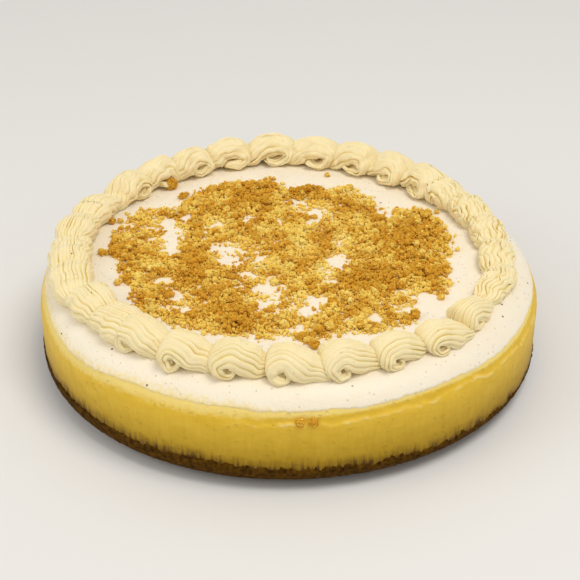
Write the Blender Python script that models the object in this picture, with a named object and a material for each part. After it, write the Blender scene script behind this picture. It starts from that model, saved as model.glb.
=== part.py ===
"""A whole baked cheesecake: a crumb base, a baked filling, a cream layer and a border of piped swirls.

Metres, +Z up. The origin is on the resting face, under the middle of the cake's outline.
"""
import math

import bmesh
import bpy
import numpy as np

# Driving dimensions
CAKE_RADIUS = 0.127
FOOT_RADIUS = 0.1175
FOOT_ROUNDING_HEIGHT = 0.011
CRUST_THICKNESS = 0.0085
FILLING_TOP = 0.0420
CREAM_TOP = 0.0514
SHOULDER_RADIUS = 0.0185
CREAM_OVERHANG = 0.0006
TOUCHING_GAP = 0.0003
SWIRL_LIFT = 0.0005

# The border of piped swirls, each a ribbed shell with a round head and a tail under the next head
SWIRL_COUNT = 28
BORDER_RADIUS = 0.1048
BORDER_CENTRE = (-0.0022, -0.0026)
SWIRL_WIDTH = 0.0225
SWIRL_HEIGHT = 0.0136
HEAD_DEPTH = 0.0095
TAIL_NARROWING = 0.40
RIB_RELIEF = 0.07
FIRST_SWIRL_ANGLE = math.radians(-94)
SWIRL_UNEVENNESS = ((5, 0.025, 0.3), (11, 0.03, 1.0))

# Each wave is (cycles round the cake, size, angle of a crest); sizes are shares or metres
OUT_OF_ROUND = ((2, 0.0073, math.radians(-53)), (3, 0.0108, math.radians(-19)))
BORDER_OUT_OF_ROUND = ((2, 0.0166, math.radians(-24)), (3, 0.0093, math.radians(-36)), (4, 0.0044, math.radians(-7)),
                       (5, 0.0055, math.radians(30)))
PITCH_WAVES = ((1, 0.033, math.radians(42)), (2, 0.018, math.radians(-55)), (3, 0.0126, 0.0),
               (4, 0.008, math.radians(23)))
SWIRL_WIDTH_WAVES = ((1, 0.095, math.radians(133)), (2, 0.102, math.radians(47)), (3, 0.057, math.radians(41)))
SWIRL_HEIGHT_WAVES = ((1, 0.097, math.radians(142)), (2, 0.095, math.radians(67)), (3, 0.045, math.radians(26)))
CRUST_EDGE_WAVES = ((3, 0.0006, 4.0), (11, 0.0004, 0.4), (19, 0.0003, 1.1))
FILLING_EDGE_WAVES = ((2, 0.0007, 3.6), (5, 0.0005, 0.2), (9, 0.0004, 2.5))

# Fineness of the faceted solids
SEGMENTS = 64
SHOULDER_STEPS = 5
FOOT_STEPS = 2
FLAT_SHARE = 0.80
SWIRL_STATIONS = (0.0, 0.04, 0.14, 0.32, 0.55, 0.78, 0.95, 1.0)
SWIRL_RIBS = 4


def remove_everything():
    for thing in list(bpy.data.objects):
        bpy.data.objects.remove(thing, do_unlink=True)


def food_material(name, colour, roughness):
    material = bpy.data.materials.new(name)
    material.use_nodes = True
    shader = material.node_tree.nodes["Principled BSDF"]
    shader.inputs["Base Color"].default_value = (*colour, 1.0)
    shader.inputs["Roughness"].default_value = roughness
    shader.inputs["Metallic"].default_value = 0.0
    return material


def waves(angle, terms):
    """Sum of a few cosines round the cake, for edges that a hand has smoothed."""
    return sum(size * math.cos(cycles * (angle - crest)) for cycles, size, crest in terms)


def ring_angles():
    return [2 * math.pi * step / SEGMENTS for step in range(SEGMENTS)]


def outline_radius(angle):
    return CAKE_RADIUS * (1 + waves(angle, OUT_OF_ROUND))


def outline_middle():
    """Middle of the box round the outline, which the whole cake is moved by."""
    points = np.array([(outline_radius(a) * math.cos(a), outline_radius(a) * math.sin(a)) for a in ring_angles()])
    return (points.max(axis=0) + points.min(axis=0)) / 2


MIDDLE = outline_middle()


def side_radius(height):
    """Share of the outline's radius that the side has at a height."""
    if height < FOOT_ROUNDING_HEIGHT:
        below = 1 - height / FOOT_ROUNDING_HEIGHT
        return 1 - (1 - FOOT_RADIUS / CAKE_RADIUS) * below ** 2
    start = CREAM_TOP - SHOULDER_RADIUS
    if height <= start:
        return 1.0
    across = math.sqrt(max(0.0, SHOULDER_RADIUS ** 2 - (height - start) ** 2))
    return 1 - (SHOULDER_RADIUS - across) / CAKE_RADIUS


def surface_height(x, y):
    """Height of the cream's upper surface over a point of the plan."""
    dx = x + MIDDLE[0]
    dy = y + MIDDLE[1]
    share = math.hypot(dx, dy) / outline_radius(math.atan2(dy, dx))
    inset = min(SHOULDER_RADIUS, max(0.0, share * CAKE_RADIUS - CAKE_RADIUS + SHOULDER_RADIUS))
    return CREAM_TOP - SHOULDER_RADIUS + math.sqrt(SHOULDER_RADIUS ** 2 - inset ** 2)


def crust_edge(angle):
    return CRUST_THICKNESS + waves(angle, CRUST_EDGE_WAVES)


def filling_edge(angle):
    return FILLING_TOP + waves(angle, FILLING_EDGE_WAVES)


def level(height):
    return lambda angle: height


def raised(edge, rise):
    return lambda angle: edge(angle) + rise


def between(lower, upper, share):
    """A height function part of the way from a lower edge to an upper one."""
    return lambda angle: lower(angle) + (upper(angle) - lower(angle)) * share


def cake_ring(share_of, height_of):
    """One ring of points round the cake, from a radius share and a height for each angle."""
    ring = []
    for angle in ring_angles():
        radius = outline_radius(angle) * share_of(angle)
        x = radius * math.cos(angle) - MIDDLE[0]
        y = radius * math.sin(angle) - MIDDLE[1]
        ring.append((x, y, height_of(angle)))
    return ring


def side_ring(height_of, proud=0.0):
    """A ring on the cake's side, proud of it by a small distance."""
    return cake_ring(lambda angle: side_radius(height_of(angle)) + proud / CAKE_RADIUS, height_of)


def flat_ring(height):
    return cake_ring(level(FLAT_SHARE), level(height))


def food_object(name, body, material):
    """Turns a closed bmesh into a named object with its material."""
    mesh = bpy.data.meshes.new(name)
    bmesh.ops.triangulate(body, faces=body.faces[:], quad_method="SHORT_EDGE")
    body.to_mesh(mesh)
    body.free()
    mesh.materials.append(material)
    mesh.shade_smooth()
    mesh.set_sharp_from_angle(angle=math.radians(50))
    bpy.context.collection.objects.link(bpy.data.objects.new(name, mesh))


def add_layer(name, rings, material):
    """A closed layer from rings that run from its flat underside round its side to its flat top."""
    body = bmesh.new()
    loops = [[body.verts.new(point) for point in ring] for ring in rings]
    for low, high in zip(loops, loops[1:]):
        for i in range(SEGMENTS):
            j = (i + 1) % SEGMENTS
            body.faces.new((low[i], low[j], high[j], high[i]))
    body.faces.new(list(reversed(loops[0])))
    body.faces.new(loops[-1])
    food_object(name, body, material)


def add_crust(material):
    rings = [side_ring(between(level(0.0), crust_edge, step / FOOT_STEPS)) for step in range(FOOT_STEPS + 1)]
    rings.append(flat_ring(CRUST_THICKNESS))
    add_layer("crust_base", rings, material)


def add_filling(material):
    bottom = raised(crust_edge, TOUCHING_GAP)
    foot_top = level(FOOT_ROUNDING_HEIGHT)
    shoulder_start = level(CREAM_TOP - SHOULDER_RADIUS)
    rings = [flat_ring(CRUST_THICKNESS + TOUCHING_GAP)]
    rings += [side_ring(between(bottom, foot_top, step / FOOT_STEPS)) for step in range(FOOT_STEPS + 1)]
    rings.append(side_ring(shoulder_start))
    rings.append(side_ring(between(shoulder_start, filling_edge, 0.5)))
    rings.append(side_ring(filling_edge))
    rings.append(flat_ring(FILLING_TOP))
    add_layer("baked_filling", rings, material)


def add_cream(material):
    bottom = raised(filling_edge, TOUCHING_GAP)
    lip = between(bottom, level(CREAM_TOP), 0.12)
    rings = [flat_ring(FILLING_TOP + TOUCHING_GAP), side_ring(bottom), side_ring(lip, CREAM_OVERHANG)]
    for step in range(1, SHOULDER_STEPS + 1):
        share = math.sin(math.pi / 2 * step / SHOULDER_STEPS)
        rings.append(side_ring(between(lip, level(CREAM_TOP), share), CREAM_OVERHANG * (1 - share)))
    add_layer("cream_layer", rings, material)


def swirl_start(index):
    """Angle round the border at which a swirl's head begins; the hand's pace varies slowly."""
    even = FIRST_SWIRL_ANGLE + 2 * math.pi * index / SWIRL_COUNT
    return even + waves(even, PITCH_WAVES)


def swirl_width(angle):
    return SWIRL_WIDTH * (1 + waves(angle, SWIRL_WIDTH_WAVES))


def head_setback(outwards, width):
    """How far the round front of a head falls back towards its sides."""
    share = min(1.0, abs(outwards) / (width / 2))
    return HEAD_DEPTH * (1 - math.sqrt(1 - share ** 2))


def swirl_half_width(along, width):
    """Half the width of a shell at a share of its length."""
    fullness = 0.92 + 0.08 * math.sin(math.pi * min(1.0, along / 0.6))
    return width / 2 * (fullness - TAIL_NARROWING * along ** 2)


def swirl_rib(lean):
    """Ridges left by the star tip, as a share of the strand's size; lean is 0 on top and a quarter turn aside."""
    return 1 + RIB_RELIEF * math.cos(2 * SWIRL_RIBS * (lean + math.pi / 2))


def swirl_rise(index, along, lean):
    """Height of a ribbed shell above the cream; it is highest near its head."""
    crest = math.sin(math.pi * along ** 0.62) ** 0.45
    arch = (1 - abs(math.sin(lean)) ** 2.4) ** 0.55
    size = 1 + waves(swirl_start(index), SWIRL_HEIGHT_WAVES + SWIRL_UNEVENNESS)
    return SWIRL_HEIGHT * size * swirl_rib(lean) * crest * arch


def swirl_point(index, along, lean, rise):
    start = swirl_start(index)
    length = swirl_start(index + 1) - start - TOUCHING_GAP / BORDER_RADIUS
    width = swirl_width(start + length * along)
    outwards = math.sin(lean) * swirl_half_width(along, width) * swirl_rib(lean)
    angle = start + length * along + head_setback(outwards, width) / BORDER_RADIUS
    radius = BORDER_RADIUS * (1 + waves(angle, BORDER_OUT_OF_ROUND)) + outwards
    x = BORDER_CENTRE[0] + radius * math.cos(angle)
    y = BORDER_CENTRE[1] + radius * math.sin(angle)
    return x, y, surface_height(x, y) + SWIRL_LIFT + rise


def add_grid_faces(body, grid, row, column, faces_up):
    """Two triangles of a cell; their shared edge leans inwards, so no corner is folded flat on itself."""
    near = grid[row]
    far = grid[row + 1]
    a, b, c, d = near[column], near[column + 1], far[column + 1], far[column]
    first_half_along = row < (len(grid) - 1) / 2
    first_half_across = column < (len(near) - 1) / 2
    if first_half_along == first_half_across:
        triangles = ((a, b, c), (a, c, d))
    else:
        triangles = ((a, b, d), (b, c, d))
    for corners in triangles:
        body.faces.new(corners if faces_up else reversed(corners))


def add_swirl(index, material):
    """A shell of piped cream: a ribbed upper grid and a lower grid that share their edge."""
    body = bmesh.new()
    columns = 2 * SWIRL_RIBS
    leans = [math.pi * (column / columns - 0.5) for column in range(columns + 1)]
    edges = (leans[0], leans[-1])
    upper = []
    lower = []
    for along in SWIRL_STATIONS:
        at_end = along in (SWIRL_STATIONS[0], SWIRL_STATIONS[-1])
        over = []
        under = []
        for lean in leans:
            seat = body.verts.new(swirl_point(index, along, lean, 0.0))
            under.append(seat)
            if at_end or lean in edges:
                over.append(seat)
            else:
                over.append(body.verts.new(swirl_point(index, along, lean, swirl_rise(index, along, lean))))
        upper.append(over)
        lower.append(under)
    for row in range(len(SWIRL_STATIONS) - 1):
        for column in range(columns):
            add_grid_faces(body, upper, row, column, faces_up=True)
            add_grid_faces(body, lower, row, column, faces_up=False)
    food_object(f"piped_swirl_{index + 1:02d}", body, material)


def build():
    remove_everything()
    add_crust(food_material("crumb_crust", (0.135, 0.066, 0.018), 0.85))
    add_filling(food_material("baked_filling", (0.60, 0.36, 0.055), 0.55))
    add_cream(food_material("spiced_cream", (0.90, 0.80, 0.60), 0.50))
    swirl_cream = food_material("piped_cream", (0.88, 0.74, 0.45), 0.50)
    for index in range(SWIRL_COUNT):
        add_swirl(index, swirl_cream)


build()
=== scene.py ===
"""Looks of a whole baked cheesecake: crumb base, filling, spiced cream, piped shells and scattered crumbs."""

import math

import bpy
import numpy as np
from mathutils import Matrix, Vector, noise
from mathutils.kdtree import KDTree


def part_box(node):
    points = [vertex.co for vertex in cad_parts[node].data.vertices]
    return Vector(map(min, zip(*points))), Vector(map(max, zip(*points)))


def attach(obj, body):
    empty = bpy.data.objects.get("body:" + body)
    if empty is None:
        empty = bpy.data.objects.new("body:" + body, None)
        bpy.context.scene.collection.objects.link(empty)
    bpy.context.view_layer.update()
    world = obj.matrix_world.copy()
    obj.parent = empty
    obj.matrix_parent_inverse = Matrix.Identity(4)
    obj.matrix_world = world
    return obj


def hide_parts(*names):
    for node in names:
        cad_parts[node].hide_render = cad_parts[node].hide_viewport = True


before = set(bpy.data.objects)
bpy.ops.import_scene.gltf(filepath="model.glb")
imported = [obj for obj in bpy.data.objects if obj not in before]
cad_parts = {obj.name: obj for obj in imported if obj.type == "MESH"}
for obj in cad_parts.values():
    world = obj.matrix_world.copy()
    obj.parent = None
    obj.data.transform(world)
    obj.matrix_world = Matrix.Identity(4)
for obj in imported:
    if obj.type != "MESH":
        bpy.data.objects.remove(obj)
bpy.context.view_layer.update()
MM = 0.001
RNG = np.random.default_rng(41)

# Sizes of the cake that the layers share
CREAM_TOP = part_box("cream_layer")[1][2]
FOOT_INSET = 9.5 * MM
FOOT_ROUNDING = 11 * MM
SHOULDER_RADIUS = 18.5 * MM
CREAM_SAG = 4.0 * MM
CREAM_SAG_DIRECTION = math.radians(-141)
CREAM_SAG_REACH = 14  # degrees
FACES_ROUND = 720
FILLING_ROWS = 96
CREAM_ROWS = 40
CRUST_ROWS = 38
CRUST_TOP = 14 * MM

# Shells of piped cream
STEPS_PER_RIDGE = 5
STEPS_ALONG = 94
SECTION_SQUARENESS = 2.4
SHELL_DOME_HEIGHT = 17.4 * MM
ROPE_FOOT = -0.5 * MM
ROPE_SIDES = ((-3, 33), (188, 41))  # direction and reach, in degrees
# Strands of the border from the head to the tail: along, up, half thickness, half width.
# They curl up at the front, stand full at the back and run on like a rope at the sides.
CURLED_SHELL_MM = (
    (1.0, 6.2, 0.8, 9.4), (2.4, 5.0, 1.3, 10.0), (1.4, 3.2, 1.9, 10.6), (-1.4, 2.9, 2.7, 11.1),
    (-3.9, 4.9, 3.6, 11.4), (-4.3, 7.7, 4.3, 11.5), (-2.6, 9.9, 4.8, 11.4), (0.8, 10.5, 5.3, 11.2),
    (4.4, 8.9, 6.0, 10.7), (8.2, 6.7, 6.5, 9.9), (12.0, 5.0, 5.6, 8.6), (15.8, 3.6, 4.3, 6.8),
    (19.4, 2.3, 2.6, 4.6))
FULL_SHELL_MM = (
    (6.0, 5.2, 1.6, 11.2), (3.6, 3.5, 2.2, 11.5), (0.0, 2.9, 2.8, 11.7), (-3.6, 3.7, 3.4, 11.8),
    (-6.2, 6.3, 4.0, 11.7), (-5.2, 9.1, 4.8, 11.5), (-2.0, 10.6, 5.7, 11.2), (2.2, 10.6, 6.3, 11.0),
    (6.2, 9.5, 6.5, 10.8), (9.8, 7.4, 6.0, 10.2), (13.0, 5.0, 4.6, 9.0), (16.9, 3.2, 3.2, 7.2),
    (21.2, 2.0, 1.8, 4.6))
ROPE_SHELL_MM = (
    (-6.4, 4.0, 0.8, 3.2), (-4.6, 5.4, 2.2, 6.8), (-1.8, 6.6, 3.2, 9.3), (1.0, 7.2, 4.1, 10.3),
    (3.8, 7.7, 4.8, 11.0), (6.8, 8.2, 5.3, 11.4), (9.8, 8.5, 5.6, 11.6), (12.8, 8.4, 5.6, 11.5),
    (15.8, 8.1, 5.4, 11.1), (18.8, 7.7, 5.0, 10.4), (21.8, 7.2, 4.4, 9.2), (24.8, 6.6, 3.5, 7.4),
    (27.8, 5.8, 2.0, 4.6))

# Crumb topping, in millimetres from the cake's middle: right, back
PATCH_EDGE_MM = (
    (-92, 0), (-90, 22), (-80, 45), (-60, 48), (-45, 70), (-10, 80), (0, 66), (20, 68), (35, 70), (47, 58),
    (50, 45), (72, 45), (80, 32), (84, 15), (84, 0), (80, -15), (80, -35), (62, -50), (62, -62), (45, -75),
    (25, -75), (10, -85), (0, -80), (-25, -78), (-38, -75), (-55, -70), (-72, -60), (-75, -40), (-85, -20))
BARE_SPOTS_MM = (
    # middle, half sizes
    (26, -10, 6, 8), (26, 7, 3, 5), (-30, -11, 7, 7), (-15, -8, 4, 4), (-9, -37, 6, 5), (20, -32, 6, 4),
    (-60, 1, 4, 8), (-62, 15, 4, 8), (-63, 28, 4, 6), (-54, 34, 4, 5), (-38, 26, 5, 3), (13, 30, 4, 4),
    (14, 41, 4, 5), (5, 52, 6, 3), (-22, 34, 5, 3), (52, 38, 5, 6), (-63, -28, 5, 3), (-54, -44, 4, 3),
    (10, -58, 4, 6), (12, -48, 4, 5), (42, -63, 5, 4), (58, -58, 5, 4), (66, -46, 6, 5), (54, -40, 5, 3),
    (-12, -52, 4, 4), (-34, 2, 5, 3), (4, -72, 5, 4), (-48, -54, 4, 3), (-5, 30, 2, 6), (-20, -24, 4, 3),
    (-24, -37, 3, 4), (30, 48, 4, 3), (-70, 52, 4, 4))
THIN_SPOTS_MM = (
    # middle, half sizes
    (-22, -6, 18, 14), (-18, -30, 12, 12), (-10, -52, 12, 15), (10, -54, 10, 14), (14, 40, 14, 14),
    (-62, 18, 12, 24), (-28, 30, 16, 8), (56, -48, 12, 12), (-54, -46, 8, 16), (-64, -28, 10, 6),
    (20, -18, 8, 18), (-66, 44, 10, 10), (-34, 2, 12, 8), (40, 60, 8, 10), (4, 52, 12, 6), (-78, 26, 10, 8))
HEAPS_MM = (
    # middle, reach
    (-48, -22, 14), (-30, -45, 8), (-25, -66, 10), (38, -28, 12), (65, 15, 14), (65, -22, 12), (-85, -3, 8),
    (-12, 72, 8), (-25, 52, 15), (10, 62, 8), (-62, 35, 6), (-72, -45, 8), (52, 5, 8))
STRAYS_MM = (
    # place, size
    (-65, 69, 7.6), (-58, 57, 4.5), (-56, 60, 3.2), (-93, 29, 3.6), (-89, 30, 3.2), (-89, 10, 4.6),
    (-95, -3, 4.2), (-84, -32, 3.6), (-75, -55, 3.4), (34, 67, 4.2), (6, -80, 4.4), (14, -75, 4.6),
    (12, -87, 5.0), (9, -83, 4.0), (60, -62, 5.2), (56, -64, 3.8), (-62, 36, 4.6), (87, 0, 2.6),
    (74, -46, 3.4), (22, 83, 2.8), (80, 40, 2.6))
SIDE_CRUMBS = (
    # direction in degrees, height, size
    (-87.8, 37.9, 4.8), (-84.9, 37.6, 4.4))
SIDE_CRUMB_TONE = 0.62
LOOSE_CRUMBS = (
    # name, how many, smallest and largest in millimetres, least cover, crowding, many-sided, tone
    ("fine_golden_crumbs", 7500, 0.7, 1.7, 0.10, 0.9, False, 0.44),
    ("fine_pale_crumbs", 7500, 0.7, 1.6, 0.06, 0.9, False, 0.34),
    ("small_crumbs", 6000, 1.2, 2.2, 0.08, 0.8, False, 0.42),
    ("coarse_crumbs", 3900, 1.6, 3.2, 0.12, 0.8, True, 0.46))
CLUMP_COUNT = 420
BED_CELLS = (272, 250)
BED_SIZE = (186 * MM, 171 * MM)
BED_MIDDLE = (-2 * MM, -2 * MM)
BED_LEAST_COVER = 0.40
BED_GRAINS = 15000
WIDEST_BED_GRAIN = 1.15 * MM

# Camera a little above the cake's front, as far away as a table top picture is taken from
CAMERA_TARGET = (-0.8 * MM, -1.1 * MM, 25.4 * MM)
CAMERA_AIM = (0.9 * MM, 0.3 * MM, 27.6 * MM)
CAMERA_DISTANCE = 0.711
CAMERA_CLIMB = 32.36  # degrees
CAMERA_LENS = 84.5
LAMPS = (
    # name, place, size, watts, tint
    ("key_lamp", (0.42, -0.30, 1.40), 0.75, 9.2, (1.0, 0.98, 0.95)),
    ("fill_lamp", (-1.0, -0.35, 0.7), 0.8, 2.8, (1.0, 0.99, 0.97)))


# ------------------------------------------------------------------ the cake's outline

def half_turns(angles):
    """Angles brought to between minus and plus half a turn."""
    return np.mod(angles + math.pi, 2 * math.pi) - math.pi


def node_points(name):
    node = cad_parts[name]
    points = np.array([vertex.co for vertex in node.data.vertices])
    return points, np.arctan2(points[:, 1], points[:, 0]), np.hypot(points[:, 0], points[:, 1])


def edge_by_angle(angles, values, pick):
    """One value, picked from the points near it, for each of many directions round the cake."""
    directions = np.linspace(-math.pi, math.pi, 120, endpoint=False)
    found = []
    for direction in directions:
        apart = np.abs(half_turns(angles - direction))
        found.append(pick(values[apart < math.radians(4)]))
    softened = (np.roll(found, 1) + 2 * np.array(found) + np.roll(found, -1)) / 4
    return np.array((directions, softened))


def rims():
    """Outline of the cake, and the heights of the crust's and the cream's outer edges, all by angle."""
    points, angles, radii = node_points("baked_filling")
    widest = edge_by_angle(angles, radii, np.max)
    points, angles, radii = node_points("cream_layer")
    outer = radii > 0.88 * widest[1].mean()
    cream_edge = edge_by_angle(angles[outer], points[outer, 2], np.min)
    points, angles, radii = node_points("crust_base")
    outer = radii > 0.85 * widest[1].mean()
    crust_edge = edge_by_angle(angles[outer], points[outer, 2], np.max)
    return widest, cream_edge, crust_edge


OUTLINE, CREAM_EDGE, CRUST_EDGE = rims()
CAKE_RADIUS = float(OUTLINE[1].mean())


def around(rim, angle):
    return np.interp(angle, rim[0], rim[1], period=2 * math.pi)


def side_share(height):
    """Share of the outline's radius that the side has at a height."""
    height = np.asarray(height, dtype=float)
    foot = np.clip(1 - height / FOOT_ROUNDING, 0, 1)
    above = np.clip(height - (CREAM_TOP - SHOULDER_RADIUS), 0, SHOULDER_RADIUS)
    across = np.sqrt(SHOULDER_RADIUS ** 2 - above ** 2)
    return 1 - (FOOT_INSET * foot ** 2 + SHOULDER_RADIUS - across) / CAKE_RADIUS


def surface_height(x, y):
    """Height of the cream's top and rounded shoulder."""
    inwards = CAKE_RADIUS * (1 - math.hypot(x, y) / around(OUTLINE, math.atan2(y, x)))
    beyond = min(max(SHOULDER_RADIUS - inwards, 0.0), SHOULDER_RADIUS)
    return CREAM_TOP - SHOULDER_RADIUS + math.sqrt(SHOULDER_RADIUS ** 2 - beyond ** 2)


def ripples(points, size, seed=0.0, stretch=(1, 1, 1)):
    """Smooth unevenness between about -1 and 1, with swells of a given size."""
    shift = Vector((seed, 1.7 * seed, -seed))
    places = np.asarray(points) / size / np.array(stretch)
    return np.array([noise.noise(Vector(place) + shift) for place in places])


def blend_range(value, low, high):
    share = np.clip((np.asarray(value, dtype=float) - low) / (high - low), 0, 1)
    return share * share * (3 - 2 * share)


# ------------------------------------------------------------------ modelling by hand

def pick_only(piece):
    bpy.ops.object.select_all(action="DESELECT")
    piece.select_set(True)
    bpy.context.view_layer.objects.active = piece


def edit(piece, mode):
    pick_only(piece)
    bpy.ops.object.mode_set(mode="EDIT")
    bpy.ops.mesh.select_mode(type=mode)
    bpy.ops.mesh.select_all(action="DESELECT")
    bpy.ops.object.mode_set(mode="OBJECT")


def settle(name):
    """Names the new primitive and puts its place into its mesh."""
    piece = bpy.context.active_object
    piece.name = name
    piece.data.name = name
    bpy.ops.object.transform_apply(location=True, rotation=True, scale=True)
    return piece


def read_points(piece):
    points = np.empty(len(piece.data.vertices) * 3)
    piece.data.vertices.foreach_get("co", points)
    return points.reshape(-1, 3)


def move_points(piece, points):
    piece.data.vertices.foreach_set("co", np.ascontiguousarray(points, dtype=float).ravel())
    piece.data.update()


def smooth_shading(piece, degrees):
    pick_only(piece)
    bpy.ops.object.shade_smooth_by_angle(angle=math.radians(degrees))


def point_value(piece, name, values):
    layer = piece.data.attributes.new(name, "FLOAT", "POINT")
    layer.data.foreach_set("value", np.ascontiguousarray(values, dtype=float))


def hand_over(piece, slot, *nodes):
    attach(piece, "root")
    if nodes:
        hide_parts(*nodes)


def drum(name, rows, top_rings, bottom_rings):
    """A drum one unit high, cut into rows up its side and rings on its flat ends, each closed by a point."""
    bpy.ops.object.select_all(action="DESELECT")
    bpy.ops.mesh.primitive_cylinder_add(vertices=FACES_ROUND, radius=1, depth=1,
                                        location=(0, 0, 0.5), end_fill_type="NGON")
    piece = settle(name)
    for height, rings in ((1, top_rings), (0, bottom_rings)):
        edit(piece, "FACE")
        for face in piece.data.polygons:
            face.select = len(face.vertices) > 4 and abs(face.center.z - height) < 0.01
        bpy.ops.object.mode_set(mode="EDIT")
        for _ in range(rings - 1):
            bpy.ops.mesh.inset(thickness=1 / rings)
        bpy.ops.mesh.poke()
        bpy.ops.object.mode_set(mode="OBJECT")
    edit(piece, "EDGE")
    heights = read_points(piece)[:, 2]
    for edge in piece.data.edges:
        low, high = edge.vertices
        edge.select = bool(abs(heights[low] - heights[high]) > 0.5)
    bpy.ops.object.mode_set(mode="EDIT")
    bpy.ops.mesh.subdivide(number_cuts=rows - 1)
    bpy.ops.object.mode_set(mode="OBJECT")
    return piece


def drum_places(piece):
    """Angle, share of the radius and share of the height of every point of a drum."""
    points = read_points(piece)
    share = np.minimum(np.hypot(points[:, 0], points[:, 1]), 1)
    return np.arctan2(points[:, 1], points[:, 0]), share, points[:, 2]


def lay_on_outline(angles, shares, heights, proud=0.0):
    """Points on the cake's outline, some of them standing proud of it."""
    radius = (around(OUTLINE, angles) * side_share(heights) + proud) * shares
    return np.column_stack((radius * np.cos(angles), radius * np.sin(angles), heights))


# ------------------------------------------------------------------ layers

def rim_points(angles):
    return np.column_stack((np.cos(angles), np.sin(angles), 0 * angles)) * CAKE_RADIUS


def crust_line(angles):
    """Height up to which the crust has crept: highest at the front left."""
    crept = (2.2 + 3.2 * np.cos(angles + 2.27)) * MM
    return around(CRUST_EDGE, angles) + crept + 1.0 * MM * ripples(rim_points(angles), 9 * MM, 3.1)


def make_crust():
    """Dark crumb base: a rough, toothed band under the filling."""
    piece = drum("crumb_base", rows=CRUST_ROWS, top_rings=2, bottom_rings=6)
    angles, shares, levels = drum_places(piece)
    edge = crust_line(angles) + 2.2 * MM * ripples(rim_points(angles), 1.9 * MM, 8.4)
    heights = levels * CRUST_TOP
    points = lay_on_outline(angles, shares, heights)
    grit = ripples(points, 2.2 * MM, 1.3) + 0.6 * ripples(points, 1.1 * MM, 5.9)
    above = blend_range(heights - edge, -0.8 * MM, 0.8 * MM)
    proud = (0.35 + 0.32 * grit) * MM * (1 - above) - 0.8 * MM * above
    side = shares > 0.99
    points = lay_on_outline(angles, shares, heights, np.where(side, proud, 0))
    points[:, 2] = np.where(levels < 0.01, 0, points[:, 2])
    move_points(piece, points)
    smooth_shading(piece, 40)
    hand_over(piece, "crumb_crust", "crust_base")
    return piece


def cream_line(angles):
    """Height of the cream's lower edge: it hangs down at the front left."""
    apart = np.degrees(half_turns(angles - CREAM_SAG_DIRECTION))
    return around(CREAM_EDGE, angles) - CREAM_SAG * np.exp(-(apart / CREAM_SAG_REACH) ** 2)


def degrees_from_front_left(angles):
    return np.degrees(np.mod(angles + math.pi * 0.75, 2 * math.pi))


def feathering(angles):
    """How softly the cream passes into the filling: from 1 at the left to 0 at the right."""
    turned = degrees_from_front_left(angles)
    return 1 - blend_range(turned, 18, 62) + blend_range(turned, 170, 250)


def lip_share(angles):
    """Where the torn upper lip of the filling shows: from the front round to the right."""
    turned = degrees_from_front_left(angles)
    return blend_range(turned, 30, 42) * (1 - blend_range(turned, 118, 134))


def torn_lip(angles, heights, points):
    """How far the filling steps back above its lip, and how far the torn lip stands out, in millimetres."""
    flat_points = points * (1, 1, 0)
    lip = cream_line(angles) - 4.3 * MM + 1.8 * MM * ripples(flat_points, 24 * MM, 1.9)
    lip += 1.4 * MM * ripples(flat_points, 6 * MM, 7.7) + 1.1 * MM * ripples(flat_points, 2.1 * MM, 3.6)
    depth = lip_share(angles) * np.clip(0.75 + 0.5 * ripples(flat_points, 11 * MM, 3.3), 0.1, 1.2)
    beyond = (heights - lip) / MM
    ledge = -0.8 * depth * blend_range(beyond, -0.4, 0.5) * (1 - 0.7 * blend_range(beyond, 1.0, 4.0))
    torn = 0.45 + 1.4 * ripples(flat_points, 4 * MM, 6.6) + 0.8 * ripples(flat_points, 1.7 * MM, 2.6)
    ridge = 0.45 * depth * np.clip(torn, 0, 1) * np.exp(-((beyond + 0.5) / 0.6) ** 2)
    return ledge, ridge


def make_filling():
    """Baked filling: a soft rounded wall, uneven from the tin, with a torn lip under the cream."""
    piece = drum("baked_cheese", rows=FILLING_ROWS, top_rings=3, bottom_rings=3)
    angles, shares, levels = drum_places(piece)
    low = 1.5 * MM
    high = around(CREAM_EDGE, angles) + 1.6 * MM
    heights = low + levels * (high - low)
    side = shares > 0.99
    points = lay_on_outline(angles, shares, heights)
    swell = 0.55 * ripples(points, 26 * MM, 2.2, (1, 1, 0.8))
    swell += 0.30 * ripples(points, 9 * MM, 4.7, (1, 1, 0.6))
    grain = 0.13 * ripples(points, 3.2 * MM, 6.1) + 0.07 * ripples(points, 1.6 * MM, 9.3)
    striped = 0.16 * ripples(points, 2.4 * MM, 12.6, (1, 1, 7)) * (1 - blend_range(heights, 9 * MM, 20 * MM))
    ledge, ridge = torn_lip(angles, heights, points)
    proud = (swell * 0.45 + grain + striped + ledge + ridge - 0.25) * MM
    points = lay_on_outline(angles, shares, heights, np.where(side, proud, 0))
    move_points(piece, points)
    point_value(piece, "lip", np.clip(ridge * 2.4, 0, 1) * side)
    smear = (1.6 + 3.4 * feathering(angles)) * MM
    point_value(piece, "smeared", np.clip(1 - (cream_line(angles) - heights) / smear, -1, 2))
    point_value(piece, "above_crust", np.clip((heights - crust_line(angles)) / MM, -4, 30))
    smooth_shading(piece, 70)
    hand_over(piece, "baked_filling", "baked_filling")
    return piece


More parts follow.
